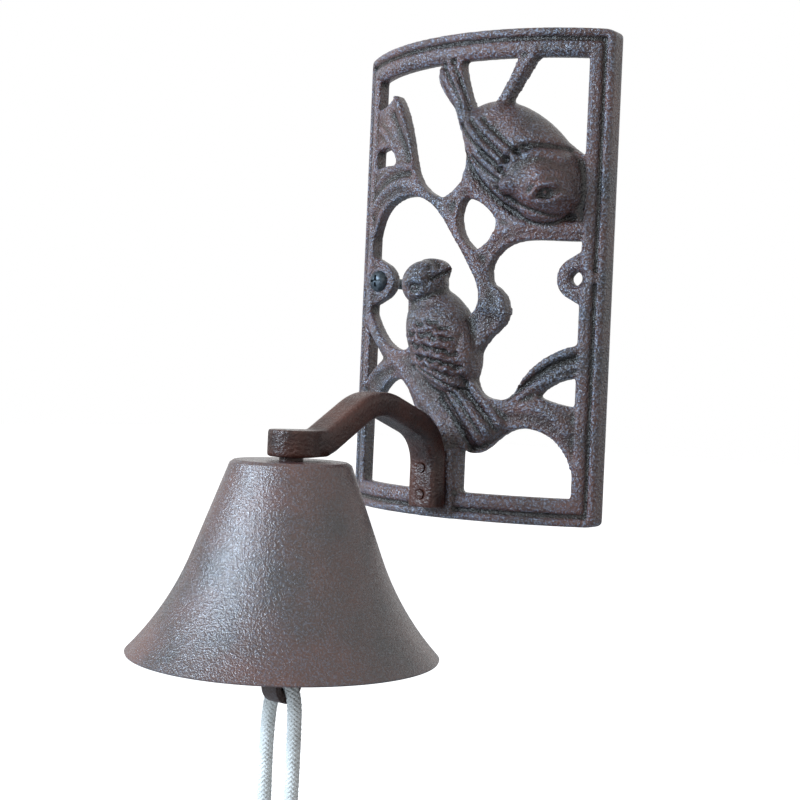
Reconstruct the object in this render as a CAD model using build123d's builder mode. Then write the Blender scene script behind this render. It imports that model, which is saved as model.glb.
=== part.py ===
from build123d import *
from math import asin, pi, radians, sin, sqrt, tan
import os

# Cast iron doorbell: a bowed openwork wall plate with two birds on branches, a swan-neck
# arm riveted to its foot, and a bell with a clapper that is swung by a looped rope.
# The wall is the plane y = 0, the room is on its -Y side, and z = 0 is the screws' height.

# Wall plate
plate_width = 112.0
plate_height = 180.0
bow_radius = 84.0
side_depth = 7.0
plate_thickness = 6.5
corner_radius = 2.5
lip_width = 2.6
lip_edge_chamfer = 0.7
groove_width = 2.4
groove_depth = 1.5
bead_width = 2.4
bead_drop = 0.5
bevel_width = 2.6
bevel_chamfer = 1.8

# Openwork inside the frame, drawn for a window of this size and stretched to the real one
drawn_half_width = 48.2
drawn_half_height = 80.0
web_drop = 1.6
web_joint = 0.8
tail_rise = 1.3
tail_root = 1.0

# Birds in half relief: each form's radius, and how deep its middle lies behind the web's front
lower_body_radius = 14.0
lower_body_depth = 2.0
lower_head_radius = 9.0
lower_head_depth = -1.0
lower_beak_radius = 3.4
lower_beak_depths = (-3.0, -1.0)
upper_body_radius = 17.0
upper_body_depth = 4.0
upper_head_radius = 12.0
upper_head_depth = 1.0
upper_beak_radius = 4.4
upper_beak_depths = (-5.0, -6.0)
beak_tip = 0.5

# Ears for the wall screws
ear_inset = 2.8
ear_radius = 7.6
ear_flare = 20.0
ear_front = 10.3
ear_thickness = 4.6
screw_hole_radius = 2.5
spot_radius = 5.4
recess_radius = 3.85
recess_depth = 1.0

# Wall screw
screw_head_radius = 4.25
screw_head_height = 2.3
screw_dome_out = 0.7
screw_dome_up = 0.72
screw_neck_radius = 1.9
screw_thread_radius = 2.1
screw_thread_length = 15.0
screw_tip_length = 5.0
screw_tip_radius = 0.4
cross_width = 1.0
cross_span = 4.6
cross_depth = 1.2

# Arm
foot_margin = 4.0
seat_width = 15.0
seat_height = 26.0
seat_rise = 0.4
arm_width = 12.5
arm_thickness = 8.7
arm_edge_radius = 2.6
arm_rise = 27.5
arm_crest_rise = 39.7
arm_crest_reach = 68.5
arm_end_rise = 24.0
arm_drop_reach = 95.5
arm_bend_radii = (17.0, 22.0, 10.0)
pad_radius = 8.0
pad_swell = 0.2
pad_blend = 14.0
pad_edge_radius = 1.2

# Rivets
rivet_radius = 1.6
rivet_clearance = 0.05
rivet_head_radius = 2.6
rivet_head_height = 1.0
rivet_nib_height = 0.3
lower_rivet_rise = 4.8
upper_rivet_rise = 14.6

# Bell
bell_reach = 108.5
bell_height = 63.3
crown_radius = 19.7
crown_edge_chamfer = 1.0
waist_radius = 31.2
waist_drop = 30.8
rim_radius = 51.7
bell_wall = 3.6
rim_edge_chamfer = 0.6

# Eye bolt and what it clamps
bolt_radius = 2.5
bolt_clearance = 0.1
washer_radius = 4.0
washer_thickness = 1.25
lock_washer_radius = 4.6
lock_washer_thickness = 1.0
nut_flats = 8.0
nut_height = 4.0
eye_radius = 4.2
eye_wire = 1.6
eye_neck = 0.6

# Link and clapper
hang_gap = 0.15
link_radius = 4.0
link_wire = 1.3
link_straight = 3.2
clapper_eye_radius = 3.5
clapper_eye_wire = 1.4
clapper_stem_radius = 2.8
clapper_neck_radius = 2.2
clapper_ball_radius = 11.0
clapper_ball_drop = 33.0
clapper_ring_drop = 53.7
rope_ring_radius = 6.4
rope_ring_thickness = 6.4
rope_hole_rise = 0.9
rope_hole_radius = 3.3
rope_hole_rounding = 1.8

# Rope: its route runs up one strand, over the web of the clapper's ring, and down the other
rope_radius = 2.4
rope_wrap_radius = 5.8
rope_points = [
    (-2.7, -108.5, -235.0),
    (-5.8, -108.4, -200.0),
    (-5.9, -108.5, -139.6),
    (5.9, -108.5, -139.6),
    (6.5, -108.6, -161.0),
    (5.6, -108.6, -200.0),
    (2.7, -108.5, -235.0),
]
wrap_points = (2, 3)
knot_radius = 7.4
knot_length = 17.0
knot_entry = 2.0
knot_chamfer = 3.0
tail_length = 16.0
tail_offset = 3.2

# Places that follow from the sizes above
half_width = plate_width / 2
half_height = plate_height / 2
bow_centre = sqrt(bow_radius**2 - half_width**2) - side_depth
back_radius = bow_radius - plate_thickness
web_front = bow_radius - web_drop
frame_width = lip_width + groove_width + bead_width + bevel_width


def chord_at(inset):
    """Half the plate's chord at an inset measured along the bow."""
    return bow_radius * sin(asin(half_width / bow_radius) - inset / bow_radius)


window_x = chord_at(frame_width)
window_z = half_height - frame_width
stretch_x = window_x / drawn_half_width
stretch_z = window_z / drawn_half_height
screw_x = window_x - ear_inset
foot_z = -half_height + foot_margin
seat_y = bow_centre - bow_radius - seat_rise
seat_back_y = bow_centre - sqrt(back_radius**2 - (seat_width / 2) ** 2)
arm_y = seat_y - arm_thickness / 2
pad_z = foot_z + arm_end_rise
pad_thickness = arm_thickness + pad_swell
pad_bottom = pad_z - pad_thickness / 2
crown_z = pad_bottom - washer_thickness
rim_z = crown_z - bell_height
nut_z = crown_z - bell_wall - lock_washer_thickness - nut_height
eye_z = nut_z - eye_neck - eye_wire - eye_radius
link_pivot_z = eye_z - eye_radius
link_top_z = link_pivot_z + eye_wire + link_wire + hang_gap
clapper_pivot_z = link_top_z - 2 * link_radius - link_straight
clapper_eye_z = clapper_pivot_z + link_wire + clapper_eye_wire + hang_gap - clapper_eye_radius
ball_z = link_pivot_z - clapper_ball_drop
rope_ring_z = link_pivot_z - clapper_ring_drop
rope_hole_z = rope_ring_z + rope_hole_rise
bell_axis = Axis((0, -bell_reach, 0), (0, 0, 1))
os.makedirs("parts", exist_ok=True)


def bow_ring(inner, outer):
    """The full ring between two radii about the bow's centre line."""
    with BuildPart() as ring:
        with BuildSketch(Plane.XY.offset(-plate_height)):
            with Locations((0, bow_centre)):
                Circle(outer)
                Circle(inner, mode=Mode.SUBTRACT)
        extrude(amount=2 * plate_height)
    return ring.part


def frame_band(outer_inset, inner_inset, depth):
    """A band of the frame between two insets, as deep as given from the bow's front."""
    with BuildPart() as band:
        with BuildSketch(Plane.XZ):
            Rectangle(2 * chord_at(outer_inset), plate_height - 2 * outer_inset)
            Rectangle(2 * chord_at(inner_inset), plate_height - 2 * inner_inset, mode=Mode.SUBTRACT)
        extrude(amount=bow_radius)
        add(bow_ring(bow_radius - depth, bow_radius + side_depth), mode=Mode.INTERSECT)
    return band.part


def drawn(points):
    """Drawing points, stretched to the window."""
    return [(x * stretch_x, z * stretch_z) for x, z in points]


def shape(*sides):
    """A closed outline on the plate: a side of two points is straight, a longer one is curved."""
    with BuildSketch(Plane.XZ) as outline:
        with BuildLine():
            for side in sides:
                if len(side) == 2:
                    Line(*drawn(side))
                else:
                    Spline(*drawn(side))
        make_face()
    return outline.sketch


def on_bow(point, depth):
    """The place of a drawing point, a depth behind the web's front."""
    ((x, z),) = drawn([point])
    return Vector(x, bow_centre - sqrt((web_front - depth) ** 2 - x**2), z)


def spindle(start, end, radius, depth, tip_depth=None):
    """An egg between two drawing points or, with a depth for its tip, a blunt cone."""
    a = on_bow(start, depth)
    b = on_bow(end, depth if tip_depth is None else tip_depth)
    middle = (a + b) * 0.5
    length = (b - a).length
    with BuildPart() as body:
        with BuildSketch(Plane(origin=middle, x_dir=b - a, z_dir=(b - a).cross(Vector(0, 1, 0)))):
            if tip_depth is None:
                Ellipse(length / 2, radius)
            else:
                half = length / 2
                Polygon((-half, -radius), (half, -beak_tip), (half, beak_tip), (-half, radius), align=None)
            Rectangle(2 * length, 2 * radius, align=(Align.CENTER, Align.MAX), mode=Mode.SUBTRACT)
        revolve(axis=Axis(middle, b - a))
    return body.part


def relief(outline):
    """A flat feature of the openwork that stands proud of its front."""
    with BuildPart() as feature:
        add(extrude(outline, amount=bow_radius, dir=(0, -1, 0), mode=Mode.PRIVATE))
        add(bow_ring(web_front - tail_root, web_front + tail_rise), mode=Mode.INTERSECT)
    return feature.part


# Openings of the openwork
top_left = shape(
    [(-50, 82), (-4, 82)],
    [(-4, 82), (-8, 75), (2, 60), (5, 50), (6, 40), (-3.5, 29.5)],
    [(-3.5, 29.5), (-11, 32.5), (-17, 38), (-21, 48), (-25, 60), (-33, 72)],
    [(-33, 72), (-40, 69), (-50, 69)],
    [(-50, 69), (-50, 82)],
)
leaf_stalk = shape(
    [(-50, 45), (-31, 44.5)],
    [(-31, 44.5), (-33, 49), (-38, 52)],
    [(-38, 52), (-50, 52)],
    [(-50, 52), (-50, 45)],
)
left_middle = shape(
    [(-50, 12), (-47, 19), (-40, 26.5), (-30, 30.5), (-18, 31), (-8, 27), (0, 18), (8, 6), (14, -8), (10, -15)],
    [(10, -15), (4, -11), (-1, -6), (-2, -1)],
    [(-2, -1), (-1, 4), (-8, 7), (-15, 5), (-19, -3), (-19, -14), (-18, -27)],
    [(-18, -27), (-25, -27.5), (-32, -25), (-40, -19.5), (-50, -11)],
    [(-50, -11), (-50, 12)],
)
lens = shape(
    [(6.5, 29), (13, 27), (19, 21)],
    [(19, 21), (18, 14.5), (12, 9.5)],
    [(12, 9.5), (6.5, 14.5), (4.2, 21.5), (6.5, 29)],
)
top_middle = shape(
    [(2.5, 82), (26, 82)],
    [(26, 82), (21.5, 71), (16.5, 62)],
    [(16.5, 62), (12, 60.5), (8, 63)],
    [(8, 63), (5, 71), (2.5, 82)],
)
top_right = shape(
    [(32, 82), (50, 82)],
    [(50, 82), (50, 43)],
    [(50, 43), (44, 47), (36, 54), (27, 58.5), (20, 60.5)],
    [(20, 60.5), (25.5, 70), (32, 82)],
)
right_middle = shape(
    [(50, 14), (34, 13.5), (24, 11.5), (18, 5), (18.5, -3)],
    [(18.5, -3), (24, -9), (24, -16), (18, -23), (13.5, -33), (15, -42), (21, -45)],
    [(21, -45), (27, -44), (31.5, -37), (37, -30.5), (50, -24)],
    [(50, -24), (50, 14)],
)
right_lower = shape(
    [(50, -36), (42, -38), (36, -43.5)],
    [(36, -43.5), (43, -46), (50, -47)],
    [(50, -47), (50, -36)],
)
bottom_right = shape(
    [(9, -82), (9, -63)],
    [(9, -63), (16, -65), (23, -59.5), (30, -55.5), (40, -57.5), (46, -65), (48.5, -82)],
    [(48.5, -82), (9, -82)],
)
bottom_left = shape(
    [(-50, -82), (-7, -82)],
    [(-7, -82), (-7, -64)],
    [(-7, -64), (-13, -50), (-22, -39), (-30, -40.5), (-39, -47.5), (-50, -50.5)],
    [(-50, -50.5), (-50, -82)],
)
small_triangle = shape(
    [(-50, -19), (-41, -25), (-34, -31)],
    [(-34, -31), (-42, -36.5), (-50, -42)],
    [(-50, -42), (-50, -19)],
)
openings = (
    top_left, leaf_stalk, left_middle, lens, top_middle, top_right,
    right_middle, right_lower, bottom_right, bottom_left, small_triangle,
)

# Openwork: the web between the openings, with the birds in half relief
with BuildPart() as openwork:
    with BuildSketch(Plane.XZ):
        Rectangle(2 * (window_x + web_joint), 2 * (window_z + web_joint))
        with BuildSketch(Plane.XZ, mode=Mode.SUBTRACT):
            for opening in openings:
                add(opening)
            Rectangle(2 * window_x, 2 * window_z, mode=Mode.INTERSECT)
    extrude(amount=bow_radius)
    add(bow_ring(back_radius, web_front), mode=Mode.INTERSECT)

with BuildPart() as birds:
    add(spindle((-10.5, -5), (9, -43), lower_body_radius, lower_body_depth))
    with Locations(on_bow((-9, -3), lower_head_depth)):
        Sphere(lower_head_radius, rotation=(90, 0, 0))
    add(spindle((-4, -2), (3, 3.5), lower_beak_radius, *lower_beak_depths))
    add(spindle((7.5, 61.5), (44.5, 22.5), upper_body_radius, upper_body_depth))
    with Locations(on_bow((36, 31), upper_head_depth)):
        Sphere(upper_head_radius, rotation=(90, 0, 0))
    add(spindle((32, 33), (22.5, 29.5), upper_beak_radius, *upper_beak_depths))
    add(bow_ring(back_radius, 2 * bow_radius), mode=Mode.INTERSECT)
    with BuildSketch(Plane.XZ):
        Rectangle(2 * window_x + lip_width, 2 * window_z)
    extrude(amount=bow_radius, mode=Mode.INTERSECT)

lower_tail = relief(
    shape(
        [(2, -38), (12, -36.5)],
        [(12, -36.5), (20, -46), (26, -53.5)],
        [(26, -53.5), (17, -62.5)],
        [(17, -62.5), (8.5, -50), (2, -38)],
    )
)
upper_tail = relief(
    shape(
        [(-6.5, 75), (-2.5, 78.5)],
        [(-2.5, 78.5), (2, 78.5)],
        [(2, 78.5), (6.5, 62), (12, 57)],
        [(12, 57), (5.5, 57)],
        [(5.5, 57), (-6.5, 75)],
    )
)

# Wall plate: frame, openwork, seat of the arm's foot, and ears
with BuildPart() as wall_plate:
    with BuildSketch(Plane.XY.offset(-half_height)):
        with Locations((0, bow_centre)):
            Circle(bow_radius)
            Circle(back_radius, mode=Mode.SUBTRACT)
        Rectangle(plate_width, bow_radius, align=(Align.CENTER, Align.MAX), mode=Mode.INTERSECT)
    extrude(amount=plate_height)
    fillet(wall_plate.edges().filter_by(Axis.Y), corner_radius)
    front = wall_plate.faces().filter_by(GeomType.CYLINDER).sort_by(Axis.Y)[0]
    chamfer(front.edges(), lip_edge_chamfer)
    add(frame_band(lip_width + groove_width, frame_width + lip_width, bead_drop), mode=Mode.SUBTRACT)
    add(frame_band(lip_width, lip_width + groove_width, groove_depth), mode=Mode.SUBTRACT)
    with BuildSketch(Plane.XZ):
        Rectangle(2 * window_x, 2 * window_z)
    extrude(amount=bow_radius, mode=Mode.SUBTRACT)
    bead = wall_plate.faces().filter_by(GeomType.CYLINDER).filter_by(
        lambda face: abs(face.radius - bow_radius + bead_drop) < bead_drop / 10
    )
    chamfer(bead[0].inner_wires()[0].edges(), bevel_chamfer)
    add(openwork.part)
    add(birds.part)
    add(lower_tail)
    add(upper_tail)
    with BuildSketch(Plane.XZ.offset(-seat_back_y)):
        with Locations((0, -half_height)):
            Rectangle(seat_width, seat_height, align=(Align.CENTER, Align.MIN))
    extrude(amount=seat_back_y - seat_y)
    for side in (-1, 1):
        with BuildSketch(Plane.XZ.offset(ear_front - ear_thickness)):
            with Locations((side * screw_x, 0)):
                Circle(ear_radius)
            with Locations((side * (window_x + web_joint / 2), 0)):
                Rectangle(web_joint, ear_flare)
            make_hull()
        extrude(amount=ear_thickness)
    with BuildSketch(Plane.XZ.offset(ear_front)):
        with Locations((-screw_x, 0), (screw_x, 0)):
            Circle(spot_radius)
    extrude(amount=bow_radius, mode=Mode.SUBTRACT)
    with BuildSketch(Plane.XZ):
        with Locations((-screw_x, 0), (screw_x, 0)):
            Circle(screw_hole_radius)
    extrude(amount=bow_radius, mode=Mode.SUBTRACT)
    with BuildSketch(Plane.XZ.offset(ear_front - recess_depth)):
        with Locations((-screw_x, 0), (screw_x, 0)):
            Circle(recess_radius)
    extrude(amount=bow_radius, mode=Mode.SUBTRACT)
    with BuildSketch(Plane.XZ):
        with Locations((0, foot_z + lower_rivet_rise), (0, foot_z + upper_rivet_rise)):
            Circle(rivet_radius + rivet_clearance)
    extrude(amount=bow_radius, mode=Mode.SUBTRACT)
wall_plate.part.label = "wall_plate"
export_step(wall_plate.part, "parts/wall_plate.step")

# Arm: one bar bent to a swan neck, ending in a round pad over the bell
with BuildPart() as arm_bracket:
    with BuildLine() as arm_path:
        FilletPolyline(
            (0, arm_y, foot_z),
            (0, arm_y, foot_z + arm_rise),
            (0, -arm_crest_reach, foot_z + arm_crest_rise),
            (0, -arm_drop_reach, pad_z),
            (0, -bell_reach, pad_z),
            radius=arm_bend_radii,
        )
    with BuildSketch(Plane.XY.offset(foot_z)):
        with Locations((0, arm_y)):
            RectangleRounded(arm_width, arm_thickness, arm_edge_radius)
    sweep(path=arm_path.line)
    with BuildSketch(Plane.XY.offset(pad_bottom)) as pad_outline:
        with Locations((0, -bell_reach)):
            Circle(pad_radius)
        with Locations((0, pad_blend - bell_reach)):
            Rectangle(arm_width - 2 * arm_edge_radius, pad_edge_radius)
        make_hull()
    extrude(amount=pad_thickness)
    with BuildSketch(Plane.XY.offset(pad_bottom)):
        with Locations((0, -bell_reach)):
            Circle(bolt_radius + bolt_clearance)
    extrude(amount=pad_thickness, mode=Mode.SUBTRACT)
    with BuildSketch(Plane.XZ.offset(-seat_y)):
        with Locations((0, foot_z + lower_rivet_rise), (0, foot_z + upper_rivet_rise)):
            Circle(rivet_radius + rivet_clearance)
    extrude(amount=2 * arm_thickness, mode=Mode.SUBTRACT)
arm_bracket.part.label = "arm_bracket"
export_step(arm_bracket.part, "parts/arm_bracket.step")

# Rivets of the arm's foot, with a flush nib in front and a head behind the plate
for name, rise in (("rivet_lower", lower_rivet_rise), ("rivet_upper", upper_rivet_rise)):
    with BuildPart() as rivet:
        with BuildSketch(Plane.XZ.offset(-seat_back_y)):
            with Locations((0, foot_z + rise)):
                Circle(rivet_radius)
        extrude(amount=seat_back_y - seat_y + arm_thickness + rivet_nib_height)
        with BuildSketch(Plane.XZ.offset(-seat_back_y)):
            with Locations((0, foot_z + rise)):
                Circle(rivet_head_radius)
        extrude(amount=-rivet_head_height)
    rivet.part.label = name
    export_step(rivet.part, f"parts/{name}.step")

# Wall screw in the left ear
with BuildPart() as wall_screw:
    with BuildSketch(Plane.XY):
        with BuildLine():
            Polyline(
                (-screw_x, screw_thread_length + screw_tip_length),
                (-screw_x - screw_tip_radius, screw_thread_length + screw_tip_length),
                (-screw_x - screw_thread_radius, screw_thread_length),
                (-screw_x - screw_thread_radius, 0),
                (-screw_x - screw_neck_radius, 0),
                (-screw_x - screw_neck_radius, -ear_front),
                (-screw_x - screw_head_radius, -ear_front),
            )
            ThreePointArc(
                (-screw_x - screw_head_radius, -ear_front),
                (-screw_x - screw_dome_out * screw_head_radius, -ear_front - screw_dome_up * screw_head_height),
                (-screw_x, -ear_front - screw_head_height),
            )
            Line(
                (-screw_x, -ear_front - screw_head_height),
                (-screw_x, screw_thread_length + screw_tip_length),
            )
        make_face()
    revolve(axis=Axis((-screw_x, 0, 0), (0, 1, 0)))
    with BuildSketch(Plane.XZ.offset(ear_front + screw_head_height - cross_depth)):
        with Locations((-screw_x, 0)):
            Rectangle(cross_span, cross_width)
            Rectangle(cross_width, cross_span)
    extrude(amount=screw_head_height, mode=Mode.SUBTRACT)
wall_screw.part.label = "wall_screw"
export_step(wall_screw.part, "parts/wall_screw.step")

# Bell: an even wall that follows the outer curve, cut level at the rim
waist_z = crown_z - waist_drop
with BuildPart() as bell:
    with BuildSketch(Plane.XZ.offset(bell_reach)) as bell_profile:
        with BuildLine():
            Polyline((0, crown_z), (crown_radius, crown_z), (waist_radius, waist_z))
            TangentArc(
                (waist_radius, waist_z),
                (rim_radius, rim_z),
                tangent=(waist_radius - crown_radius, waist_z - crown_z),
            )
            offset(amount=bell_wall, side=Side.RIGHT)
        make_face()
        with Locations((0, rim_z)):
            Rectangle(2 * rim_radius, bell_height, align=(Align.MIN, Align.MIN), mode=Mode.INTERSECT)
        chamfer(bell_profile.vertices().group_by(Axis.Y)[0], rim_edge_chamfer)
        chamfer(bell_profile.vertices().group_by(Axis.Y)[-1].sort_by(Axis.X)[-1], crown_edge_chamfer)
    revolve(axis=bell_axis)
    with BuildSketch(Plane.XY.offset(crown_z)):
        with Locations((0, -bell_reach)):
            Circle(bolt_radius + bolt_clearance)
    extrude(amount=-2 * bell_wall, mode=Mode.SUBTRACT)
bell.part.label = "bell"
export_step(bell.part, "parts/bell.step")

# Washer between the pad and the crown
with BuildPart() as crown_washer:
    with BuildSketch(Plane.XY.offset(crown_z)):
        with Locations((0, -bell_reach)):
            Circle(washer_radius)
            Circle(bolt_radius + bolt_clearance, mode=Mode.SUBTRACT)
    extrude(amount=washer_thickness)
crown_washer.part.label = "crown_washer"
export_step(crown_washer.part, "parts/crown_washer.step")

# Lock washer and nut under the crown
with BuildPart() as lock_washer:
    with BuildSketch(Plane.XY.offset(crown_z - bell_wall)):
        with Locations((0, -bell_reach)):
            Circle(lock_washer_radius)
            Circle(bolt_radius + bolt_clearance, mode=Mode.SUBTRACT)
    extrude(amount=-lock_washer_thickness)
lock_washer.part.label = "lock_washer"
export_step(lock_washer.part, "parts/lock_washer.step")

with BuildPart() as hex_nut:
    with BuildSketch(Plane.XY.offset(nut_z)):
        with Locations((0, -bell_reach)):
            RegularPolygon(nut_flats / 2, 6, major_radius=False)
            Circle(bolt_radius + bolt_clearance, mode=Mode.SUBTRACT)
    extrude(amount=nut_height)
hex_nut.part.label = "hex_nut"
export_step(hex_nut.part, "parts/hex_nut.step")

# Eye bolt: its shank fills the bores, and its eye hangs under the nut across the room's depth
with BuildPart() as eye_bolt:
    with BuildSketch(Plane.XY.offset(eye_z + eye_radius)):
        with Locations((0, -bell_reach)):
            Circle(bolt_radius)
    extrude(amount=pad_z + pad_thickness / 2 - eye_z - eye_radius)
    with Locations(Plane(origin=(0, -bell_reach, eye_z), z_dir=(0, 1, 0))):
        Torus(eye_radius, eye_wire)
eye_bolt.part.label = "eye_bolt"
export_step(eye_bolt.part, "parts/eye_bolt.step")

# Link: an oval ring that hangs in the eye and carries the clapper
with BuildPart() as link:
    with BuildLine() as link_path:
        upper = (0, -bell_reach, link_top_z - link_radius)
        lower = (0, -bell_reach, link_top_z - link_radius - link_straight)
        with BuildSketch(Plane.YZ) as link_shape:
            with Locations((-bell_reach, (upper[2] + lower[2]) / 2)):
                SlotOverall(2 * link_radius + link_straight, 2 * link_radius, rotation=90)
        add(link_shape.sketch.face().outer_wire())
    with BuildSketch(Plane(origin=link_path.line @ 0, z_dir=link_path.line % 0)):
        Circle(link_wire)
    sweep(path=link_path.line)
link.part.label = "link"
export_step(link.part, "parts/link.step")

# Clapper: ring, stem, striking ball, and a flat ring below for the rope
with BuildPart() as clapper:
    with Locations(Plane(origin=(0, -bell_reach, clapper_eye_z), z_dir=(0, 1, 0))):
        Torus(clapper_eye_radius, clapper_eye_wire)
    with BuildSketch(Plane.XZ.offset(bell_reach)):
        with BuildLine():
            Polyline(
                (0, clapper_eye_z - clapper_eye_radius),
                (clapper_neck_radius, clapper_eye_z - clapper_eye_radius),
                (clapper_stem_radius, ball_z),
                (clapper_stem_radius, rope_ring_z + rope_ring_radius / 2),
                (0, rope_ring_z + rope_ring_radius / 2),
                close=True,
            )
        make_face()
    revolve(axis=bell_axis)
    with Locations((0, -bell_reach, ball_z)):
        Sphere(clapper_ball_radius)
    with BuildSketch(Plane.YZ.offset(-rope_ring_thickness / 2)):
        with Locations((-bell_reach, rope_ring_z)):
            Circle(rope_ring_radius)
    extrude(amount=rope_ring_thickness)
    with BuildSketch(Plane.YZ.offset(-rope_ring_thickness / 2)):
        with Locations((-bell_reach, rope_hole_z)):
            Circle(rope_hole_radius)
    extrude(amount=rope_ring_thickness, mode=Mode.SUBTRACT)
    bore = clapper.faces().filter_by(GeomType.CYLINDER).filter_by(
        lambda face: abs(face.radius - rope_hole_radius) < 0.01
    )
    fillet(bore.edges().filter_by(GeomType.CIRCLE), rope_hole_rounding)
clapper.part.label = "clapper"
export_step(clapper.part, "parts/clapper.step")

# Rope: straight runs joined by tangent arcs, each as large as its two runs allow
route = [Vector(*point) for point in rope_points]
bends = []
for i in range(1, len(route) - 1):
    before = route[i] - route[i - 1]
    after = route[i + 1] - route[i]
    if i in wrap_points:
        bends.append(rope_wrap_radius)
    else:
        bends.append(0.45 * min(before.length, after.length) / tan(radians(before.get_angle(after) / 2)))
print("rope bend radii:", [round(bend, 1) for bend in bends])
with BuildPart() as pull_cord:
    with BuildLine() as rope_path:
        FilletPolyline(*route, radius=bends)
    with BuildSketch(Plane(origin=rope_path.line @ 0, z_dir=rope_path.line % 0)):
        Circle(rope_radius)
    sweep(path=rope_path.line)
rope_length = sum(edge.length for edge in rope_path.line.edges())
print("rope length:", round(rope_length, 1))
print("rope volume by its section:", round(pi * rope_radius**2 * rope_length, 1))
print("rope volume:", round(pull_cord.part.volume, 1))
pull_cord.part.label = "pull_cord"
export_step(pull_cord.part, "parts/pull_cord.step")

# Knot: one closed lump with its two short tails
knot_top = route[0].Z + knot_entry
with BuildPart() as cord_knot:
    with BuildSketch(Plane.XY.offset(knot_top)):
        with Locations((0, route[0].Y)):
            Circle(knot_radius)
    extrude(amount=-knot_length)
    chamfer(cord_knot.edges(), knot_chamfer)
    with BuildSketch(Plane.XY.offset(knot_top - knot_length + knot_chamfer)):
        with Locations((-tail_offset, route[0].Y), (tail_offset, route[0].Y)):
            Circle(rope_radius)
    extrude(amount=-tail_length - knot_chamfer)
cord_knot.part.label = "cord_knot"
export_step(cord_knot.part, "parts/cord_knot.step")
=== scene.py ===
import bpy
import bmesh
import numpy as np
from math import cos, pi, radians, sin, sqrt
from mathutils import Matrix, Vector


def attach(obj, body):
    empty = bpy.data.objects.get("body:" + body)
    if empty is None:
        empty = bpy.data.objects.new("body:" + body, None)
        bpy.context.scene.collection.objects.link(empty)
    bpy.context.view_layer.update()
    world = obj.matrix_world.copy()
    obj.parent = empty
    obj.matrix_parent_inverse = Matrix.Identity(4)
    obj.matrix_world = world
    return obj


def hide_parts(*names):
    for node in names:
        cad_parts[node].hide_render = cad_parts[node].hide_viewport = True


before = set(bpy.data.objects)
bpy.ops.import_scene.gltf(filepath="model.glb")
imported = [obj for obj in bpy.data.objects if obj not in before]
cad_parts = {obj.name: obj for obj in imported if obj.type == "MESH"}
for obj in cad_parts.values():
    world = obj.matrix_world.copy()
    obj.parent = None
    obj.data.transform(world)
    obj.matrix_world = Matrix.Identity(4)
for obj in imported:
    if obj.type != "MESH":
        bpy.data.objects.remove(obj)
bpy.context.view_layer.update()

# Camera: it stands in front of the plate and to its right, at the height of the lower bird. It
# looks level at the middle of the plate, and is rolled by two and a half degrees.
image_side = 800
sensor_width = 36.0
focal_pixels = 1404.0
camera_place = Vector((0.30814, -0.45105, -0.04189))
camera_yaw = radians(37.649)
camera_pitch = radians(-0.551)
camera_roll = radians(2.471)
level_look = cos(camera_pitch)
view_axis = Vector((-sin(camera_yaw) * level_look, cos(camera_yaw) * level_look, sin(camera_pitch)))
level_right = Vector((cos(camera_yaw), sin(camera_yaw), 0.0))
level_up = level_right.cross(view_axis)
view_right = level_right * cos(camera_roll) + level_up * sin(camera_roll)
view_up = view_right.cross(view_axis)
camera_data = bpy.data.cameras.new("camera")
camera_data.sensor_width = sensor_width
camera_data.lens = sensor_width * focal_pixels / image_side
camera = bpy.data.objects.new("camera", camera_data)
camera.matrix_world = Matrix.Translation(camera_place) @ Matrix(
    (view_right, view_up, -view_axis)
).transposed().to_4x4()
bpy.context.scene.collection.objects.link(camera)
bpy.context.scene.camera = camera

# Rope: a cream braided cotton cord, 4.8 mm thick, doubled through the clapper's ring. It hangs
# straight under its own weight, and both strands end in one knot below.
rope_points = [
    (-0.0027, -0.1085, -0.2350),
    (-0.0058, -0.1084, -0.2000),
    (-0.0059, -0.1085, -0.1396),
    (0.0059, -0.1085, -0.1396),
    (0.0065, -0.1086, -0.1610),
    (0.0056, -0.1086, -0.2000),
    (0.0027, -0.1085, -0.2350),
]
rope_diameter = 0.0048
yarn_count = 8
yarn_thickness = 0.00125
yarn_lay = 0.0125
yarn_lift = 0.00016
braid_step = 0.00055
rope_resolution = 60


def new_piece(name, mesh, body, material):
    """A piece of the object: linked, coloured, and riding on a body."""
    piece = bpy.data.objects.new(name, mesh)
    bpy.context.scene.collection.objects.link(piece)
    mesh.materials.clear()
    mesh.materials.append(material)
    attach(piece, body)
    return piece


def evaluated_mesh(obj):
    """The mesh that an object shows, modifiers and all."""
    bpy.context.view_layer.update()
    return bpy.data.meshes.new_from_object(obj.evaluated_get(bpy.context.evaluated_depsgraph_get()))


def nurbs_route(name, points, resolution):
    """Points along the smooth line that a few control points steer."""
    curve = bpy.data.curves.new(name, "CURVE")
    curve.dimensions = "3D"
    spline = curve.splines.new("NURBS")
    spline.points.add(len(points) - 1)
    for control, point in zip(spline.points, points):
        control.co = (*point, 1.0)
    spline.order_u = 3
    spline.use_endpoint_u = True
    spline.resolution_u = resolution
    line = bpy.data.objects.new(name, curve)
    bpy.context.scene.collection.objects.link(line)
    places = [v.co.copy() for v in evaluated_mesh(line).vertices]
    bpy.data.objects.remove(line)
    return places


def even_steps(places, step):
    """The same line with its points evenly spaced."""
    even = [places[0]]
    ahead = step
    for a, b in zip(places, places[1:]):
        length = (b - a).length
        while ahead <= length:
            even.append(a.lerp(b, ahead / length))
            ahead += step
        ahead -= length
    return even


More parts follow.
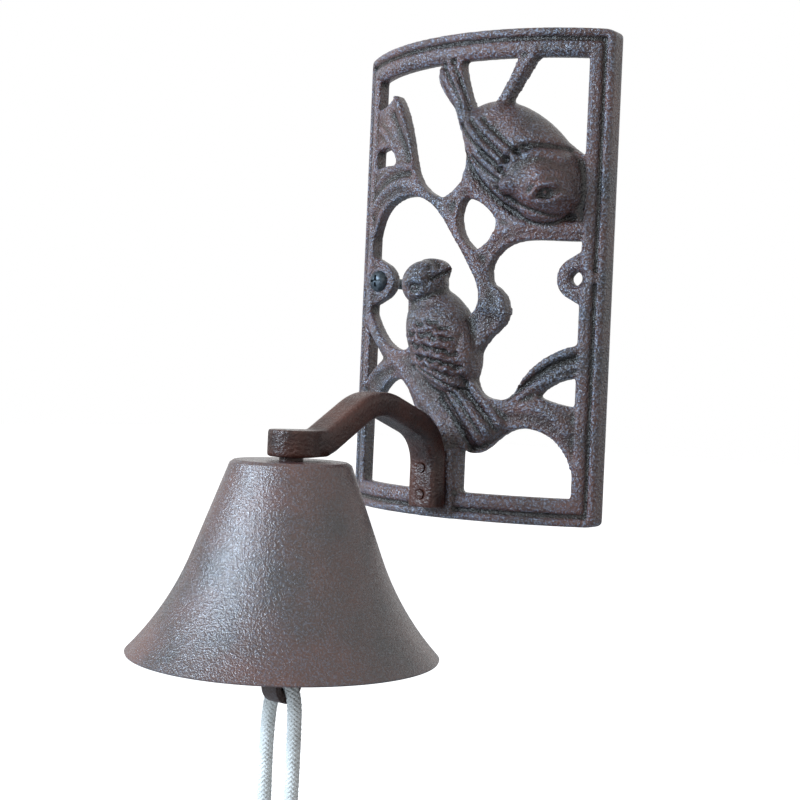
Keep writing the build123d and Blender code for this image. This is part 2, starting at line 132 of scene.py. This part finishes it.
def braid(name, places, reference):
    """A mesh of interlaced yarns round a line: half of them turn left and half turn right."""
    core = rope_diameter / 2 - yarn_thickness / 2
    curve = bpy.data.curves.new(name, "CURVE")
    curve.dimensions = "3D"
    curve.bevel_depth = yarn_thickness / 2
    curve.bevel_resolution = 1
    curve.use_fill_caps = True
    step = (places[1] - places[0]).length
    for turn in (-1, 1):
        for yarn in range(yarn_count):
            spline = curve.splines.new("POLY")
            spline.points.add(len(places) - 1)
            for i, place in enumerate(places):
                before = places[max(i - 1, 0)]
                after = places[min(i + 1, len(places) - 1)]
                along = (after - before).normalized()
                side = along.cross(reference).normalized()
                front = side.cross(along)
                wound = 2 * pi * i * step / yarn_lay
                angle = turn * wound + 2 * pi * yarn / yarn_count
                radius = core + turn * yarn_lift * cos(yarn_count * wound)
                out = side * radius * cos(angle) + front * radius * sin(angle)
                spline.points[i].co = (*(place + out), 1.0)
    yarns = bpy.data.objects.new(name, curve)
    bpy.context.scene.collection.objects.link(yarns)
    mesh = evaluated_mesh(yarns)
    bpy.data.objects.remove(yarns)
    for polygon in mesh.polygons:
        polygon.use_smooth = True
    return mesh


def new_material(name):
    """An empty node material with its Principled shader."""
    material = bpy.data.materials.new(name)
    material.use_nodes = True
    nodes = material.node_tree.nodes
    return material, nodes, material.node_tree.links, nodes["Principled BSDF"]


cotton, nodes, links, shader = new_material("cream cotton braid")
place = nodes.new("ShaderNodeTexCoord")
fibres = nodes.new("ShaderNodeTexNoise")
fibres.inputs["Scale"].default_value = 2600.0
fibres.inputs["Detail"].default_value = 4.0
soiling = nodes.new("ShaderNodeTexNoise")
soiling.inputs["Scale"].default_value = 130.0
soiling.inputs["Detail"].default_value = 3.0
links.new(place.outputs["Object"], fibres.inputs["Vector"])
links.new(place.outputs["Object"], soiling.inputs["Vector"])
cotton_tones = nodes.new("ShaderNodeValToRGB")
cotton_tones.color_ramp.elements[0].position = 0.3
cotton_tones.color_ramp.elements[0].color = (0.66, 0.66, 0.63, 1)
cotton_tones.color_ramp.elements[1].position = 0.58
cotton_tones.color_ramp.elements[1].color = (0.82, 0.82, 0.79, 1)
links.new(soiling.outputs["Fac"], cotton_tones.inputs["Fac"])
fibre_bump = nodes.new("ShaderNodeBump")
fibre_bump.inputs["Strength"].default_value = 0.4
fibre_bump.inputs["Distance"].default_value = 0.0001
links.new(fibres.outputs["Fac"], fibre_bump.inputs["Height"])
links.new(fibre_bump.outputs["Normal"], shader.inputs["Normal"])
links.new(cotton_tones.outputs["Color"], shader.inputs["Base Color"])
shader.inputs["Roughness"].default_value = 0.85
shader.inputs["Sheen Weight"].default_value = 0.25

rope_line = even_steps(nurbs_route("rope route", rope_points, rope_resolution), braid_step)
rope_mesh = braid("pull_rope", rope_line, Vector((0, 1, 0)))
rope = new_piece("pull_rope", rope_mesh, "striker", cotton)
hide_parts("pull_cord")

# Knot: the two strands end in it below the photo. One strand winds three times round the
# other, and both leave it as short tails.
knot_turns = 3.0
knot_turn_points = 36
knot_start_angle = -0.2
knot_drop = 0.0012
straight_resolution = 30
winding_resolution = 12
knot_pitch = 0.0048
knot_radius = 0.0049
tail_end = -0.264


def knot_lines():
    """The straight strand, the winding strand, and the tails."""
    x0, y0, z0 = rope_points[0]
    x1, y1, z1 = rope_points[-1]
    straight = [
        Vector((x0, y0, z0)),
        Vector((-0.0004, y0, z0 - 0.006)),
        Vector((0.0, y0, z0 - 0.012)),
        Vector((-0.0012, y0, z0 - 0.017)),
        Vector((-0.0034, y0, tail_end + 0.006)),
        Vector((-0.0036, y0, tail_end)),
    ]
    winding = [Vector((x1, y1, z1))]
    for i in range(knot_turn_points + 1):
        turn = i / knot_turn_points * knot_turns
        angle = knot_start_angle + 2 * pi * turn
        height = z1 - knot_drop - knot_pitch * turn
        winding.append(Vector((knot_radius * cos(angle), y1 + knot_radius * sin(angle), height)))
    winding.append(Vector((0.0042, y1, tail_end + 0.008)))
    winding.append(Vector((0.0034, y1, tail_end)))
    return straight, winding


straight, winding = knot_lines()
straight_line = even_steps(nurbs_route("knot straight", straight, straight_resolution), braid_step)
winding_line = even_steps(nurbs_route("knot winding", winding, winding_resolution), braid_step)
joined = bmesh.new()
joined.from_mesh(braid("knot straight", straight_line, Vector((0, 1, 0))))
joined.from_mesh(braid("knot winding", winding_line, Vector((0.1, 0.2, 1))))
knot_data = bpy.data.meshes.new("rope_knot")
joined.to_mesh(knot_data)
joined.free()
knot = new_piece("rope_knot", knot_data, "striker", cotton)
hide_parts("cord_knot")

# Wall plate: one iron casting, bowed, with a moulded frame, branches, leaves and two birds. Sand
# casting leaves its edges soft. The brown rust has a blue-grey bloom on its grain tops and raised
# parts, partly real bloom and partly a painted sheen, and painted shade darkens its hollows.
plate_voxel = 0.00072
plate_smoothing = 3
plate_edge_height = 0.00045
edge_passes = 14
edge_pull = 0.7
merge_distance = 0.000002


def iron_material(name, dark, brown, pale, pale_share, grain_size, grain_depth, roughness, index):
    """Rusted cast iron: a grainy skin with painted shade in its hollows, paler and cooler on its raised
    grain tops, partly wear and partly a painted sheen.
    """
    material, nodes, links, shader = new_material(name)
    place = nodes.new("ShaderNodeTexCoord")
    skin = nodes.new("ShaderNodeGroup")
    skin.node_tree = iron_skin
    skin.inputs["Grain Size"].default_value = grain_size
    links.new(place.outputs["Object"], skin.inputs["Place"])
    edge = nodes.new("ShaderNodeAttribute")
    edge.attribute_name = "edge"
    # Painted shade: the colour darkens where a point lies below the surface round it.
    hollow_shade = nodes.new("ShaderNodeMapRange")
    hollow_shade.inputs["From Min"].default_value = -0.55
    hollow_shade.inputs["From Max"].default_value = 0.15
    hollow_shade.inputs["To Min"].default_value = 0.08
    links.new(edge.outputs["Fac"], hollow_shade.inputs["Value"])
    rust = nodes.new("ShaderNodeMix")
    rust.data_type = "RGBA"
    rust.inputs["A"].default_value = (*dark, 1)
    rust.inputs["B"].default_value = (*brown, 1)
    links.new(skin.outputs["Patches"], rust.inputs["Factor"])
    # Paler, cooler tone on grain tops, more on raised parts: partly wear, and partly a painted sheen and
    # painted highlight.
    bloom_and_sheen = nodes.new("ShaderNodeMix")
    bloom_and_sheen.data_type = "RGBA"
    bloom_and_sheen.inputs["B"].default_value = (*pale, 1)
    share = nodes.new("ShaderNodeMath")
    share.operation = "MULTIPLY"
    share.inputs[1].default_value = pale_share
    raised_wear_and_sheen = nodes.new("ShaderNodeMapRange")
    raised_wear_and_sheen.inputs["From Min"].default_value = -0.35
    raised_wear_and_sheen.inputs["From Max"].default_value = 0.75
    raised_wear_and_sheen.inputs["To Min"].default_value = 0.35
    raised_wear_and_sheen.inputs["To Max"].default_value = 2.3
    links.new(edge.outputs["Fac"], raised_wear_and_sheen.inputs["Value"])
    wear_and_sheen = nodes.new("ShaderNodeMath")
    wear_and_sheen.operation = "MULTIPLY"
    links.new(skin.outputs["Tops"], wear_and_sheen.inputs[0])
    links.new(raised_wear_and_sheen.outputs["Result"], wear_and_sheen.inputs[1])
    links.new(wear_and_sheen.outputs["Value"], share.inputs[0])
    links.new(share.outputs["Value"], bloom_and_sheen.inputs["Factor"])
    links.new(rust.outputs["Result"], bloom_and_sheen.inputs["A"])
    shade = nodes.new("ShaderNodeMix")
    shade.data_type = "RGBA"
    shade.blend_type = "MULTIPLY"
    shade.inputs["Factor"].default_value = 1.0
    links.new(bloom_and_sheen.outputs["Result"], shade.inputs["A"])
    links.new(hollow_shade.outputs["Result"], shade.inputs["B"])
    links.new(shade.outputs["Result"], shader.inputs["Base Color"])
    relief = nodes.new("ShaderNodeBump")
    relief.inputs["Distance"].default_value = grain_depth
    relief.inputs["Strength"].default_value = 0.9
    links.new(skin.outputs["Height"], relief.inputs["Height"])
    links.new(relief.outputs["Normal"], shader.inputs["Normal"])
    gloss = nodes.new("ShaderNodeMapRange")
    gloss.inputs["To Min"].default_value = roughness + 0.12
    gloss.inputs["To Max"].default_value = roughness - 0.08
    links.new(skin.outputs["Tops"], gloss.inputs["Value"])
    links.new(gloss.outputs["Result"], shader.inputs["Roughness"])
    shader.inputs["IOR"].default_value = index
    return material


# Skin that every casting shares: patches of rust, and a sandy grain with small pits in it. Tops
# marks the grain's high spots, and Height is what the bump follows.
iron_skin = bpy.data.node_groups.new("cast iron skin", "ShaderNodeTree")
iron_skin.interface.new_socket("Place", in_out="INPUT", socket_type="NodeSocketVector")
iron_skin.interface.new_socket("Grain Size", in_out="INPUT", socket_type="NodeSocketFloat")
iron_skin.interface.new_socket("Patches", in_out="OUTPUT", socket_type="NodeSocketFloat")
iron_skin.interface.new_socket("Tops", in_out="OUTPUT", socket_type="NodeSocketFloat")
iron_skin.interface.new_socket("Height", in_out="OUTPUT", socket_type="NodeSocketFloat")
nodes, links = iron_skin.nodes, iron_skin.links
group_in = nodes.new("NodeGroupInput")
group_out = nodes.new("NodeGroupOutput")
grain_scale = nodes.new("ShaderNodeMath")
grain_scale.operation = "DIVIDE"
grain_scale.inputs[0].default_value = 1.0
links.new(group_in.outputs["Grain Size"], grain_scale.inputs[1])
grain = nodes.new("ShaderNodeTexNoise")
grain.inputs["Detail"].default_value = 2.5
grain.inputs["Roughness"].default_value = 0.6
links.new(group_in.outputs["Place"], grain.inputs["Vector"])
links.new(grain_scale.outputs["Value"], grain.inputs["Scale"])
pits = nodes.new("ShaderNodeTexVoronoi")
pits.inputs["Scale"].default_value = 700.0
pits.inputs["Randomness"].default_value = 1.0
links.new(group_in.outputs["Place"], pits.inputs["Vector"])
patches = nodes.new("ShaderNodeTexNoise")
patches.inputs["Scale"].default_value = 42.0
patches.inputs["Detail"].default_value = 6.0
patches.inputs["Roughness"].default_value = 0.62
links.new(group_in.outputs["Place"], patches.inputs["Vector"])
patch_range = nodes.new("ShaderNodeMapRange")
patch_range.inputs["From Min"].default_value = 0.36
patch_range.inputs["From Max"].default_value = 0.66
links.new(patches.outputs["Fac"], patch_range.inputs["Value"])
links.new(patch_range.outputs["Result"], group_out.inputs["Patches"])
height = nodes.new("ShaderNodeMath")
height.operation = "MULTIPLY_ADD"
height.inputs[1].default_value = 0.35
links.new(pits.outputs["Distance"], height.inputs[0])
links.new(grain.outputs["Fac"], height.inputs[2])
links.new(height.outputs["Value"], group_out.inputs["Height"])
top_range = nodes.new("ShaderNodeMapRange")
top_range.inputs["From Min"].default_value = 0.47
top_range.inputs["From Max"].default_value = 0.66
links.new(grain.outputs["Fac"], top_range.inputs["Value"])
links.new(top_range.outputs["Result"], group_out.inputs["Tops"])

# Its pale blue-grey is partly rust bloom and partly a painted sheen, and its hollows get painted shade.
plate_iron = iron_material(
    "plate cast iron",
    dark=(0.012, 0.004, 0.003), brown=(0.100, 0.029, 0.018), pale=(0.30, 0.36, 0.48), pale_share=0.30,
    grain_size=0.00080, grain_depth=0.00085, roughness=0.18, index=1.62,
)


def cad_copy(node):
    """The node's mesh as a bmesh with its loose triangles merged."""
    copy = bmesh.new()
    copy.from_mesh(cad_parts[node].data)
    bmesh.ops.remove_doubles(copy, verts=copy.verts, dist=merge_distance)
    return copy


def points_and_normals(mesh):
    """The mesh's points and their normals, one row for each."""
    places = np.empty(len(mesh.vertices) * 3)
    normals = np.empty(len(mesh.vertices) * 3)
    mesh.vertices.foreach_get("co", places)
    mesh.vertices.foreach_get("normal", normals)
    return places.reshape(-1, 3), normals.reshape(-1, 3)


def mark_edges(mesh, full):
    """Store how far each point stands out of the surface round it, as the attribute edge."""
    places, normals = points_and_normals(mesh)
    count = len(places)
    ends = np.empty(len(mesh.edges) * 2, dtype=np.int32)
    mesh.edges.foreach_get("vertices", ends)
    first, second = ends.reshape(-1, 2).T
    neighbours = np.maximum(np.bincount(ends, minlength=count), 1)
    even = places.copy()
    for _ in range(edge_passes):
        total = [
            np.bincount(first, even[second, k], count) + np.bincount(second, even[first, k], count)
            for k in range(3)
        ]
        even = (1 - edge_pull) * even + edge_pull * np.stack(total, axis=1) / neighbours[:, None]
    stands_out = ((places - even) * normals).sum(axis=1) / full
    mark = mesh.attributes.new("edge", "FLOAT", "POINT")
    mark.data.foreach_set("value", np.clip(stands_out, -1, 1).astype(np.float32))


def cast(name, solid, voxel, smoothing):
    """One closed casting from overlapping closed shapes, its edges softened."""
    mesh = bpy.data.meshes.new(name)
    solid.to_mesh(mesh)
    solid.free()
    raw = bpy.data.objects.new(name, mesh)
    bpy.context.scene.collection.objects.link(raw)
    remesh = raw.modifiers.new("fuse", "REMESH")
    remesh.mode = "VOXEL"
    remesh.voxel_size = voxel
    remesh.use_smooth_shade = True
    soften = raw.modifiers.new("soften", "SMOOTH")
    soften.factor = 0.5
    soften.iterations = smoothing
    fused = evaluated_mesh(raw)
    bpy.data.objects.remove(raw)
    fused.name = name
    return fused


# The plate is bowed round an upright line, bow_centre behind the wall face. Strokes rise at right
# angles to that bow, and only where the surface faces away from the line.
millimetre = 0.001
bow_radius = 0.084
half_width = 0.056
side_depth = 0.007
bow_centre = sqrt(bow_radius**2 - half_width**2) - side_depth
least_front = 0.1
full_front = 0.5


def rounded(points):
    """The same stroke in metres, with its corners cut twice."""
    line = [np.array(p) * millimetre for p in points]
    for _ in range(2 if len(line) > 2 else 0):
        cut = [line[0]]
        for a, b in zip(line, line[1:]):
            cut += [a * 0.75 + b * 0.25, a * 0.25 + b * 0.75]
        line = cut + [line[-1]]
    return line


def carve(mesh, strokes):
    """Raise or sink the plate's front along strokes, each with its width, its rise and its points."""
    places, normals = points_and_normals(mesh)
    count = len(places)
    outward = np.stack((places[:, 0], places[:, 1] - bow_centre, np.zeros(count)), axis=1)
    outward /= np.linalg.norm(outward, axis=1)[:, None]
    front = (normals * outward).sum(axis=1)
    facing = np.clip((front - least_front) / (full_front - least_front), 0, 1)
    flat = places[:, (0, 2)]
    height = np.zeros(count)
    for width, rise, *points in strokes:
        line = rounded(points)
        nearest = np.full(count, np.inf)
        for a, b in zip(line, line[1:] or line):
            along = b - a
            share = np.clip(((flat - a) @ along) / max(along @ along, 1e-12), 0, 1)
            nearest = np.minimum(nearest, np.linalg.norm(flat - a - share[:, None] * along, axis=1))
        height += rise * millimetre * np.exp(-((nearest / (width * millimetre)) ** 2))
    places += outward * (height * facing)[:, None]
    mesh.vertices.foreach_set("co", places.ravel())
    mesh.update()


# What the pattern maker cut into the plate: width, rise and points (x, z), all in millimetres. A
# rise below nought is a groove.
branch_crests = [
    (2.4, 1.3, (-48, 29), (-37, 36), (-23, 37), (-11, 31), (-1, 24), (5, 15), (12, 5), (15, -6), (17, -11)),
    (1.6, 0.9, (5, 28), (4, 20), (10, 10), (15, 2)),
    (1.8, 0.9, (0, 28), (6, 33), (10, 33)),
    (1.8, 1.0, (6, 38), (11, 30), (19, 24), (29, 19)),
    (2.2, 1.1, (15, 10), (20, 16), (28, 18), (39, 17), (48, 18)),
    (1.8, 1.0, (31, 81), (25, 73), (20, 62)),
    (2.6, 1.2, (17, -12), (15, -21), (15, -30), (14, -38), (19, -45), (26, -48), (33, -47), (41, -49),
     (46, -55)),
    (3.6, 1.3, (21, -12), (22, -11)),
    (2.4, 1.1, (-49, -16), (-37, -25), (-24, -32), (-15, -41), (-5, -49), (1, -56), (5, -64), (7, -77)),
    (1.9, 1.0, (-29, -33), (-40, -36), (-49, -41)),
    (0.9, -0.7, (11, -22), (10, -32), (13, -42)),
]
leaf_marks = [
    (1.0, 1.1, (-33, 71), (-24, 58), (-21, 49), (-19, 42)),
    (2.2, -1.3, (-35, 64), (-29, 55), (-23, 46)),
    (1.2, 1.1, (-44, 60), (-39, 57), (-33, 51)),
    (1.0, 0.9, (-46, 38), (-36, 42), (-27, 44), (-20, 42)),
    (1.2, -0.8, (-45, 34), (-33, 39), (-22, 40)),
    (0.9, 1.0, (26, -43), (33, -36), (40, -30), (48, -26)),
    (0.9, -1.0, (27, -45), (34, -38), (41, -32), (48, -29)),
    (0.9, 0.9, (28, -46), (35, -40), (42, -35), (48, -32)),
    (0.8, 0.7, (31, -44), (38, -39), (45, -36)),
]
lower_bird_marks = [
    (0.8, -2.3, (-2.4, -1.4), (2.6, 2.2)),
    (1.1, 1.3, (-3, 1.5), (1, 4.2)),
    (0.8, -1.4, (-4.8, 3.2), (-3.6, 0.2), (-3.4, -2.6)),
    (1.1, 1.4, (-11, -3.4), (-7.8, -1.6), (-4.6, -2.6)),
    (1.6, -1.9, (-8, -5)),
    (0.8, 2.4, (-8, -5)),
    (1.0, 1.1, (-10.4, -7.6), (-7.4, -8.2), (-4.8, -6.4)),
    (1.6, -0.7, (-16, -10), (-8, -13), (0, -11)),
    (1.0, 1.0, (-17, -28), (-6, -33), (4, -38), (11, -41)),
    (0.8, -1.0, (-16, -30), (-3, -35.5), (9, -42)),
    (0.8, 0.9, (-15, -32), (-2, -37), (8, -43)),
    (0.7, -0.8, (-14, -34), (-3, -39), (7, -44)),
    (3.4, 1.9, (7, -44), (13, -51), (18.5, -57)),
    (1.4, -1.6, (13, -64), (20, -62), (27, -57)),
    (1.2, -1.2, (0, -46), (7, -54), (13, -63)),
    (0.9, 0.9, (3, -42), (10, -50), (17, -60)),
    (0.8, -1.0, (6, -42), (13, -51), (19, -59)),
    (0.9, 0.9, (8, -42), (16, -51), (22, -58)),
    (0.8, -1.0, (11, -42), (18, -49.5), (23, -56)),
    (0.9, 0.8, (13, -41), (20, -48), (25.5, -54)),
]
scale_places = [
    (-4, -20), (1, -19), (5, -21), (-8, -23.5), (-2, -24), (3, -25), (7, -25),
    (-5, -28), (0, -28.5), (5, -29.5), (8.5, -30.5), (-3.5, -32), (2, -33), (6.5, -34), (9.8, -35),
]
for x, z in scale_places:
    lower_bird_marks.append((0.8, 1.3, (x - 2.2, z + 1.2), (x - 0.6, z - 1.2), (x + 2.2, z - 0.6)))
    lower_bird_marks.append((0.8, -1.0, (x - 1.4, z + 1.8), (x + 0.2, z + 0.6), (x + 2.2, z + 1.2)))
upper_bird_marks = [
    (5.0, 2.6, (7, 58), (12, 53), (16, 50)),
    (0.8, 0.8, (-6.5, 77.5), (0.5, 68.5), (5, 60)),
    (0.8, -0.9, (-5, 79), (1.5, 69), (6, 60)),
    (0.8, 0.8, (-3, 80), (2.8, 69), (7.5, 60)),
    (0.8, -0.9, (-0.5, 80), (4, 70), (8.3, 61)),
    (0.9, 0.8, (1.8, 80), (5.4, 70), (9.4, 61)),
    (1.0, -1.4, (6, 55), (15, 47), (24, 40)),
    (1.0, 1.1, (9, 56), (18, 47), (26, 40)),
    (1.0, -1.5, (12, 56), (21, 47), (29, 40)),
    (1.0, 1.1, (15, 56), (24, 48), (31, 42)),
    (1.0, -1.5, (17, 56), (26, 49), (33, 42.5)),
    (1.0, 1.1, (20, 55), (28, 49), (34, 44)),
    (1.0, -1.3, (22.5, 53.5), (29, 48.5), (35, 44)),
    (0.9, -1.0, (12, 43), (18, 38), (24, 34)),
    (0.9, 0.6, (14, 44), (20, 39), (25, 36)),
    (0.9, -1.0, (17, 44), (22, 40), (27, 36)),
    (1.3, 1.2, (5, 58), (9, 47), (13, 39), (19, 32), (23, 28)),
    (1.1, -0.9, (7, 45), (12, 36), (20, 28.5), (26, 23)),
    (1.2, 1.0, (28, 38.5), (33, 42), (40, 43.5), (45, 41.5)),
    (1.3, -1.6, (25, 37), (30, 43), (36, 46.5), (44, 46)),
    (4.2, 3.2, (33, 32.5), (38.5, 34.5)),
    (1.9, 3.0, (25.5, 31.6), (29, 32.4)),
    (1.3, -1.9, (24, 30.5), (28, 27), (34, 24.5), (40, 22), (45, 21.5)),
    (2.6, 1.2, (30, 29.5), (36, 27)),
    (1.6, -1.9, (42, 29)),
    (0.8, 2.4, (42, 29)),
    (0.9, 1.8, (37.5, 27.5), (40.5, 31.4), (45, 32)),
    (0.9, 1.6, (39.5, 25.8), (43.5, 25.5), (46.5, 28)),
]
plate_mesh = cast("bird_plate", cad_copy("wall_plate"), plate_voxel, plate_smoothing)
carve(plate_mesh, branch_crests + leaf_marks + lower_bird_marks + upper_bird_marks)
mark_edges(plate_mesh, plate_edge_height)
plate = new_piece("bird_plate", plate_mesh, "base", plate_iron)
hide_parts("wall_plate")

# Arm: one cast bar, bent to a swan neck, with a round pad over the bell. Its rust is redder
# than the plate's, and it is held to the plate's foot by two rivets.
# Its hollows get painted shade, and its raised parts a paler red tone, partly wear and partly a painted
# highlight.
arm_iron = iron_material(
    "arm cast iron",
    dark=(0.014, 0.004, 0.003), brown=(0.080, 0.022, 0.012), pale=(0.20, 0.09, 0.07), pale_share=0.12,
    grain_size=0.0009, grain_depth=0.00038, roughness=0.27, index=1.45,
)
arm_voxel = 0.0006
arm_smoothing = 6
arm_edge_height = 0.0005
arm_mesh = cast("swan_neck_arm", cad_copy("arm_bracket"), arm_voxel, arm_smoothing)
mark_edges(arm_mesh, arm_edge_height)
arm = new_piece("swan_neck_arm", arm_mesh, "base", arm_iron)
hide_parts("arm_bracket")


def finish_node(node, material):
    """Give a CAD node its better material and leave its mesh alone."""
    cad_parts[node].data.materials.clear()
    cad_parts[node].data.materials.append(material)


for node in ("rivet_upper", "rivet_lower", "crown_washer"):
    finish_node(node, arm_iron)

# Bell: one casting with an even wall, flared to a plain rim. Its skin is the evenest, a fine
# brown grain whose gloss shines where the light falls on it, and whose grain tops carry a cool pale
# painted sheen all over.
bell_iron = iron_material(
    "bell cast iron",
    dark=(0.018, 0.005, 0.003), brown=(0.110, 0.030, 0.017), pale=(0.30, 0.36, 0.48), pale_share=0.32,
    grain_size=0.00060, grain_depth=0.00034, roughness=0.20, index=1.75,
)
finish_node("bell", bell_iron)

# Clapper: an iron rod with a ball that strikes the bell, hung by its upper ring and pulled by
# the flat ring at its foot.
clapper_iron = iron_material(
    "clapper cast iron",
    dark=(0.030, 0.014, 0.011), brown=(0.08, 0.04, 0.03), pale=(0.16, 0.14, 0.15), pale_share=0.3,
    grain_size=0.0008, grain_depth=0.00024, roughness=0.45, index=1.45,
)
finish_node("clapper", clapper_iron)

# Wall screw: black oxide steel with a cross recess, in the left ear only.
black_steel, nodes, links, shader = new_material("black screw steel")
place = nodes.new("ShaderNodeTexCoord")
oxide = nodes.new("ShaderNodeTexNoise")
oxide.inputs["Scale"].default_value = 900.0
oxide.inputs["Detail"].default_value = 4.0
links.new(place.outputs["Object"], oxide.inputs["Vector"])
oxide_tones = nodes.new("ShaderNodeValToRGB")
oxide_tones.color_ramp.elements[0].position = 0.35
oxide_tones.color_ramp.elements[0].color = (0.020, 0.026, 0.030, 1)
oxide_tones.color_ramp.elements[1].position = 0.70
oxide_tones.color_ramp.elements[1].color = (0.085, 0.105, 0.125, 1)
links.new(oxide.outputs["Fac"], oxide_tones.inputs["Fac"])
links.new(oxide_tones.outputs["Color"], shader.inputs["Base Color"])
scuffs = nodes.new("ShaderNodeMapRange")
scuffs.inputs["To Min"].default_value = 0.28
scuffs.inputs["To Max"].default_value = 0.52
links.new(oxide.outputs["Fac"], scuffs.inputs["Value"])
links.new(scuffs.outputs["Result"], shader.inputs["Roughness"])
oxide_bump = nodes.new("ShaderNodeBump")
oxide_bump.inputs["Strength"].default_value = 0.5
oxide_bump.inputs["Distance"].default_value = 0.0001
links.new(oxide.outputs["Fac"], oxide_bump.inputs["Height"])
links.new(oxide_bump.outputs["Normal"], shader.inputs["Normal"])
shader.inputs["Metallic"].default_value = 0.6
finish_node("wall_screw", black_steel)

# Fittings inside the bell: eye bolt, nut, lock washer and link, in dull zinc plate.
zinc, nodes, links, shader = new_material("dull zinc plate")
place = nodes.new("ShaderNodeTexCoord")
spangle = nodes.new("ShaderNodeTexVoronoi")
spangle.inputs["Scale"].default_value = 420.0
dulling = nodes.new("ShaderNodeTexNoise")
dulling.inputs["Scale"].default_value = 260.0
dulling.inputs["Detail"].default_value = 5.0
links.new(place.outputs["Object"], spangle.inputs["Vector"])
links.new(place.outputs["Object"], dulling.inputs["Vector"])
zinc_tones = nodes.new("ShaderNodeValToRGB")
zinc_tones.color_ramp.elements[0].position = 0.35
zinc_tones.color_ramp.elements[0].color = (0.16, 0.14, 0.12, 1)
zinc_tones.color_ramp.elements[1].position = 0.62
zinc_tones.color_ramp.elements[1].color = (0.44, 0.44, 0.43, 1)
links.new(dulling.outputs["Fac"], zinc_tones.inputs["Fac"])
links.new(zinc_tones.outputs["Color"], shader.inputs["Base Color"])
zinc_gloss = nodes.new("ShaderNodeMapRange")
zinc_gloss.inputs["To Min"].default_value = 0.38
zinc_gloss.inputs["To Max"].default_value = 0.62
links.new(spangle.outputs["Distance"], zinc_gloss.inputs["Value"])
links.new(zinc_gloss.outputs["Result"], shader.inputs["Roughness"])
shader.inputs["Metallic"].default_value = 0.9
for node in ("eye_bolt", "hex_nut", "lock_washer", "link"):
    finish_node(node, zinc)

# Studio: a white floor and a white surround, one soft square light in front of the plate and left
# of the camera, and a weak fill from the right.
floor_height = -0.34
floor_reach = 6.0
floor_data = bpy.data.meshes.new("floor")
floor_shape = bmesh.new()
bmesh.ops.create_grid(floor_shape, x_segments=1, y_segments=1, size=floor_reach)
bmesh.ops.translate(floor_shape, verts=floor_shape.verts, vec=(0, 0, floor_height))
floor_shape.to_mesh(floor_data)
floor_shape.free()
floor = bpy.data.objects.new("floor", floor_data)
bpy.context.scene.collection.objects.link(floor)
floor_material, nodes, links, shader = new_material("white floor")
shader.inputs["Base Color"].default_value = (0.88, 0.88, 0.88, 1)
shader.inputs["Roughness"].default_value = 0.9
rays = nodes.new("ShaderNodeLightPath")
glow = nodes.new("ShaderNodeEmission")
links.new(rays.outputs["Is Camera Ray"], glow.inputs["Strength"])
both = nodes.new("ShaderNodeAddShader")
links.new(shader.outputs["BSDF"], both.inputs[0])
links.new(glow.outputs["Emission"], both.inputs[1])
links.new(both.outputs["Shader"], nodes["Material Output"].inputs["Surface"])
floor_data.materials.append(floor_material)

world = bpy.data.worlds.new("white surround")
world.use_nodes = True
bpy.context.scene.world = world
nodes, links = world.node_tree.nodes, world.node_tree.links
rays = nodes.new("ShaderNodeLightPath")
seen = nodes.new("ShaderNodeMath")
seen.operation = "MAXIMUM"
seen_through = nodes.new("ShaderNodeMath")
seen_through.operation = "MAXIMUM"
links.new(rays.outputs["Is Camera Ray"], seen.inputs[0])
links.new(rays.outputs["Is Glossy Ray"], seen.inputs[1])
links.new(seen.outputs["Value"], seen_through.inputs[0])
links.new(rays.outputs["Is Transmission Ray"], seen_through.inputs[1])
level = nodes.new("ShaderNodeMapRange")
level.inputs["To Min"].default_value = 0.16
level.inputs["To Max"].default_value = 1.0
links.new(seen_through.outputs["Value"], level.inputs["Value"])
links.new(level.outputs["Result"], nodes["Background"].inputs["Strength"])
nodes["Background"].inputs["Color"].default_value = (1, 1, 1, 1)


def soft_light(name, place, target, width, height, power, colour):
    """A soft rectangular lamp that faces a point."""
    data = bpy.data.lights.new(name, "AREA")
    data.shape = "RECTANGLE"
    data.size = width
    data.size_y = height
    data.energy = power
    data.color = colour
    lamp = bpy.data.objects.new(name, data)
    lamp.location = place
    lamp.rotation_euler = (Vector(target) - Vector(place)).to_track_quat("-Z", "Y").to_euler()
    bpy.context.scene.collection.objects.link(lamp)


middle = (0.0, -0.07, -0.05)
soft_light("left window", (-0.44, -0.94, 0.31), middle, 0.42, 0.42, 18.0, (0.68, 0.84, 1.0))
soft_light("right fill", (0.9, -0.6, 0.3), middle, 0.5, 0.5, 1.2, (1.0, 0.90, 0.84))
bpy.context.scene.view_settings.view_transform = "Standard"
